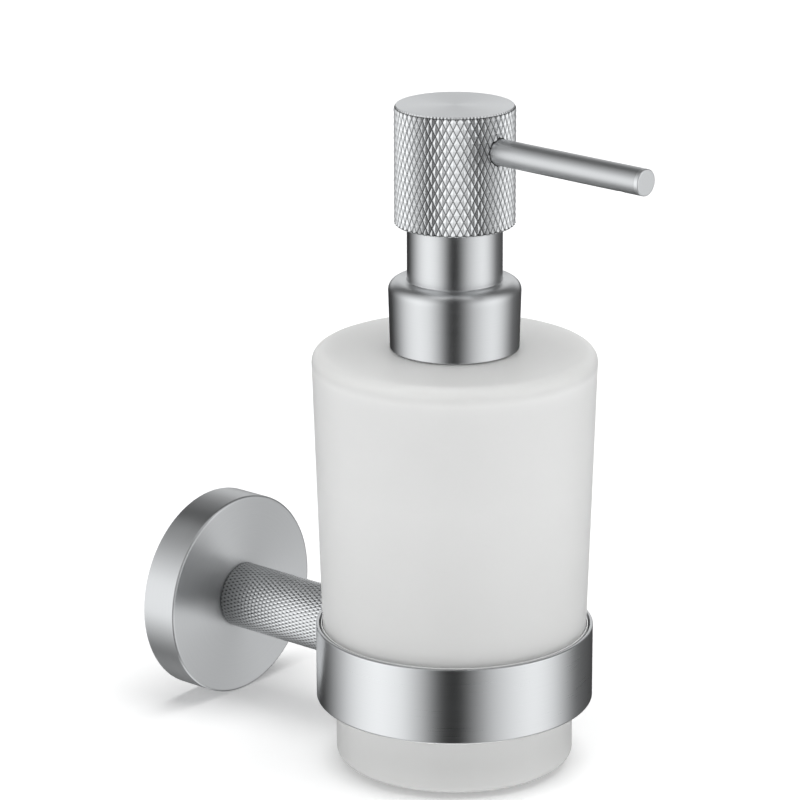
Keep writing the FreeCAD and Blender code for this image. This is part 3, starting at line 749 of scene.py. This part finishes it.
def buildHead():
    low, high = headLow.z, headHigh.z
    bore = headRadius - head["wall"]
    ceiling = high - head["top"]
    wall = (headRadius, low + head["rimEdge"], high - head["edge"])
    below = [(0, ceiling), (bore, ceiling, head["ceilingRound"]), (bore, low, head["rimRound"]),
             (headRadius - head["rimInset"], low)]
    above = [(headRadius - head["topInset"], high), (0, high)]
    mesh = knurledMesh("knurledHead", wall, below, above, head, headMetal)
    mesh.transform(onAxis @ spoutTurn)
    hole = rodMesh(spout["radius"] + spout["shadowGap"], spout["cutterStart"], headRadius + spout["overcut"],
                   alongSpout, spout["cutterSteps"])
    mesh = cutAway(mesh, hole)
    piece = finishPiece("knurledHead", mesh, Matrix(), headMetal, sharpAngle=20)
    standsFor(piece, "head_shell")


def buildSpout():
    radius, bore, inner, end = spout["radius"], spout["bore"], spout["inner"], spout["end"]
    tubeEnd = end - spout["disc"] - spout["fit"]
    mesh = turnedMesh("spoutTube", [
        (bore, inner), (radius, inner), (radius, tubeEnd), (bore, tubeEnd)], spout["steps"])
    mesh.transform(alongSpout)
    downwards = alongSpout @ Matrix.Translation((0, 0, end - spout["outletBack"])) @ onWall
    outlet = rodMesh(spout["outlet"], spout["cutterStart"], radius + spout["overcut"], downwards,
                     spout["outletSteps"])
    mesh = cutAway(mesh, outlet)
    standsFor(finishPiece("spoutTube", mesh, Matrix(), spoutMetal), "spout_tube")
    inside = bore - spout["fit"]
    plugStart = tubeEnd - spout["plugDeep"]
    discStart = tubeEnd + spout["fit"]
    plug = turnedMesh("spoutPlug", [
        (0, end), (0, plugStart), (inside, plugStart), (inside, discStart), (radius, discStart),
        (radius, end, spout["chamfer"])], spout["steps"])
    standsFor(finishPiece("spoutPlug", plug, alongSpout, tipMetalPaintedLighter), "spout_plug")


spring = {"wire": 0.45, "turns": 6.5, "travel": 12.0, "stepsToTurn": 72, "wireSteps": 20}


def springTree():
    # a round wire wound about Z
    tree, bench, given = newTree("springWinding", ("Radius", "Pitch", "Turns", "Start Height", "Wire"))
    spiral = bench.add("GeometryNodeCurveSpiral")
    spiral.inputs["Resolution"].default_value = spring["stepsToTurn"]
    bench.join(given["Turns"], spiral.inputs["Rotations"])
    bench.join(given["Radius"], spiral.inputs["Start Radius"])
    bench.join(given["Radius"], spiral.inputs["End Radius"])
    bench.join(bench.maths("MULTIPLY", given["Pitch"], given["Turns"]), spiral.inputs["Height"])
    lift = bench.add("GeometryNodeTransform")
    bench.join(spiral.outputs[0], lift.inputs["Geometry"])
    bench.join(bench.together(Z=given["Start Height"]), lift.inputs["Translation"])
    circle = bench.add("GeometryNodeCurvePrimitiveCircle")
    circle.inputs["Resolution"].default_value = spring["wireSteps"]
    bench.join(given["Wire"], circle.inputs["Radius"])
    sweep = bench.add("GeometryNodeCurveToMesh")
    sweep.inputs["Fill Caps"].default_value = True
    bench.join(lift.outputs[0], sweep.inputs["Curve"])
    bench.join(circle.outputs[0], sweep.inputs["Profile Curve"])
    endTree(bench, sweep.outputs[0], given["Finish"])
    return tree


def buildSpring():
    wire, turns = spring["wire"], spring["turns"]
    radius = halfWidth(springLow, springHigh) - wire
    length = springHigh.z - springLow.z
    holder = inScene("pressSpringWork", bpy.data.meshes.new("pressSpring"))
    runTree(holder, springTree(), {
        "Radius": radius, "Pitch": (length - 2 * wire) / turns, "Turns": turns,
        "Start Height": springLow.z + wire, "Wire": wire, "Finish": springMetal})
    mesh = plainMesh(holder, "pressSpring")
    piece = finishPiece("pressSpring", mesh, onAxis, springMetal, sharpAngle=40)
    standsFor(piece, "spring")
    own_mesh(piece)


buildCollar()
buildHead()
buildSpout()
buildSpring()
print("pump ready")


# Stage, light and camera

floorPlan = {"size": 6.0, "drop": 0.1, "cloud": 3.0, "dark": 0.93, "light": 0.94, "roughness": 0.9,
             # a little glow, more far out, keeps the far floor as pale as the near floor
             "glowOver": 1.6, "glow": [(0.0, 0.14), (0.25, 0.22), (1.0, 0.8)]}


def buildFloor():
    size = floorPlan["size"]
    low = (min(rosetteLow.z, bottleLow.z) - floorPlan["drop"]) * mm
    corners = [(-size, -size, low), (size, -size, low), (size, size, low), (-size, size, low)]
    mesh = bpy.data.meshes.new("studioFloor")
    mesh.from_pydata(corners, [], [(0, 1, 2, 3)])
    material, bench, shader, place = newFinish("paleFloor")
    cloud = grain(bench, place, floorPlan["cloud"])
    bench.join(bench.swing(cloud, floorPlan["dark"], floorPlan["light"]), shader.inputs["Base Color"])
    away = bench.add("ShaderNodeVectorMath", operation="LENGTH")
    bench.join(place, away.inputs[0])
    distance = bench.maths("DIVIDE", away.outputs["Value"], floorPlan["glowOver"])
    bench.join(bench.ramp(distance, floorPlan["glow"]), shader.inputs["Emission Strength"])
    shader.inputs["Emission Color"].default_value = (1, 1, 1, 1)
    shader.inputs["Roughness"].default_value = floorPlan["roughness"]
    shader.inputs["Specular IOR Level"].default_value = 0.0
    mesh.materials.append(material)
    floor = inScene("studioFloor", mesh)
    floor.visible_glossy = False


surround = {
    "cameraSide": 219.2,                          # where the camera stands, in degrees round from +X
    # brightness all round, in degrees from the camera's side
    "softboxes": [(-180, 0.10), (-165, 0.02), (-149, 0.01), (-138, 0.05), (-126, 0.20), (-110, 0.58),
                  (-96, 0.98), (-84, 1.22), (-66, 1.42), (-45, 1.25), (-27, 0.68), (-18, 0.28), (-10, 0.02),
                  (5, 0.0), (15, 0.26), (24, 0.53), (32, 0.80), (50, 1.13), (68, 1.32), (80, 1.21),
                  (91, 0.98), (104, 0.57), (119, 0.18), (138, 0.11), (165, 0.04), (180, 0.10)],
    # lift is 0 straight down, 0.5 level and 1 straight up; how much of the softboxes is left at each
    "softboxLift": [(0.0, 0.10), (0.12, 0.25), (0.22, 0.62), (0.34, 1.0), (0.60, 1.0), (0.68, 0.82),
                    (0.80, 0.60), (0.88, 0.46), (0.94, 0.50), (0.99, 1.0)],
    # light from the ground, also by lift
    "ground": [(0.0, 1.0), (0.035, 0.9), (0.07, 0.12), (0.15, 0.05), (0.24, 0.0)],
    # one more light across from the camera: by share of a turn, where 0.5 is the camera's side, and by lift
    "backSide": [(0.0, 1.0), (0.06, 0.9), (0.12, 0.0), (0.88, 0.0), (0.94, 0.9), (1.0, 1.0)],
    "backLift": [(0.0, 0.0), (0.48, 0.0), (0.56, 1.0), (0.66, 0.7), (0.82, 0.25), (0.92, 0.0)],
    "backPower": 0.98,
    "tint": (0.985, 0.995, 1.0, 1),
    "backdrop": 1.05}


def background(bench, colour):
    node = bench.add("ShaderNodeBackground")
    node.inputs["Color"].default_value = colour
    return node


def buildWorld():
    world = bpy.data.worlds.new("studioLight")
    bpy.context.scene.world = world
    world.use_nodes = True
    tree = world.node_tree
    tree.nodes.clear()
    bench = NodeBench(tree)
    look = bench.apart(bench.add("ShaderNodeTexCoord").outputs["Generated"])
    angle = bench.maths("DIVIDE", bench.maths("ARCTAN2", look["Y"], look["X"]), 2 * pi)
    # 0.5 is the camera's side; the whole turn added keeps the number above 0
    turn = bench.maths("FRACT", bench.maths("ADD", angle, 1.5 - surround["cameraSide"] / 360))
    lift = bench.maths("ADD", bench.maths("MULTIPLY", look["Z"], 0.5), 0.5)
    around = bench.ramp(turn, [(0.5 + degree / 360, level) for degree, level in surround["softboxes"]])
    strength = bench.maths("MULTIPLY", around, bench.ramp(lift, surround["softboxLift"]))
    strength = bench.maths("ADD", strength, bench.ramp(lift, surround["ground"]))
    behind = bench.ramp(turn, surround["backSide"])
    behind = bench.maths("MULTIPLY", behind, bench.ramp(lift, surround["backLift"]))
    strength = bench.maths("ADD", strength, bench.maths("MULTIPLY", behind, surround["backPower"]))
    light = background(bench, surround["tint"])
    bench.join(strength, light.inputs["Strength"])
    plain = background(bench, (1, 1, 1, 1))
    plain.inputs["Strength"].default_value = surround["backdrop"]
    choice = bench.add("ShaderNodeMixShader")
    bench.join(bench.add("ShaderNodeLightPath").outputs["Is Camera Ray"], choice.inputs[0])
    bench.join(light.outputs[0], choice.inputs[1])
    bench.join(plain.outputs[0], choice.inputs[2])
    bench.join(choice.outputs[0], bench.add("ShaderNodeOutputWorld").inputs[0])


def aimAlong(item, direction):
    item.rotation_mode = "QUATERNION"
    item.rotation_quaternion = direction.to_track_quat("-Z", "Y")


lamps = {"aimHeight": 0.04,
         "topLight": {"size": 1.5, "power": 15.5, "place": (0.05, -0.18, 1.3)},
         "fillLight": {"size": 1.4, "power": 1.6, "place": (-1.35, -0.85, 0.7)}}


def softLight(name):
    # wide light aimed at the bottle, that the metal doesn't mirror
    lamp = lamps[name]
    data = bpy.data.lights.new(name, "AREA")
    data.shape = "DISK"
    data.size = lamp["size"]
    data.energy = lamp["power"]
    item = inScene(name, data)
    item.location = lamp["place"]
    item.visible_glossy = False
    aimAlong(item, Vector((0, axisY * mm, lamps["aimHeight"])) - Vector(lamp["place"]))


camera = {"place": (-0.6974, -0.6519, 0.3451), "heading": 40.065, "down": 17.11, "roll": -0.19,
          "lens": 170.57, "sensor": 36.0, "nearest": 0.01, "farthest": 50.0}


def buildCamera():
    data = bpy.data.cameras.new("studioCamera")
    data.lens = camera["lens"]
    data.sensor_width = camera["sensor"]
    data.clip_start = camera["nearest"]
    data.clip_end = camera["farthest"]
    item = inScene("studioCamera", data)
    item.location = camera["place"]
    heading, down = radians(camera["heading"]), radians(camera["down"])
    aimAlong(item, Vector((cos(down) * cos(heading), cos(down) * sin(heading), -sin(down))))
    item.rotation_quaternion = item.rotation_quaternion @ Quaternion((0, 0, 1), radians(camera["roll"]))
    bpy.context.scene.camera = item


buildFloor()
buildWorld()
softLight("topLight")
softLight("fillLight")
buildCamera()
bpy.context.scene.view_settings.view_transform = "Standard"
print("stage ready")
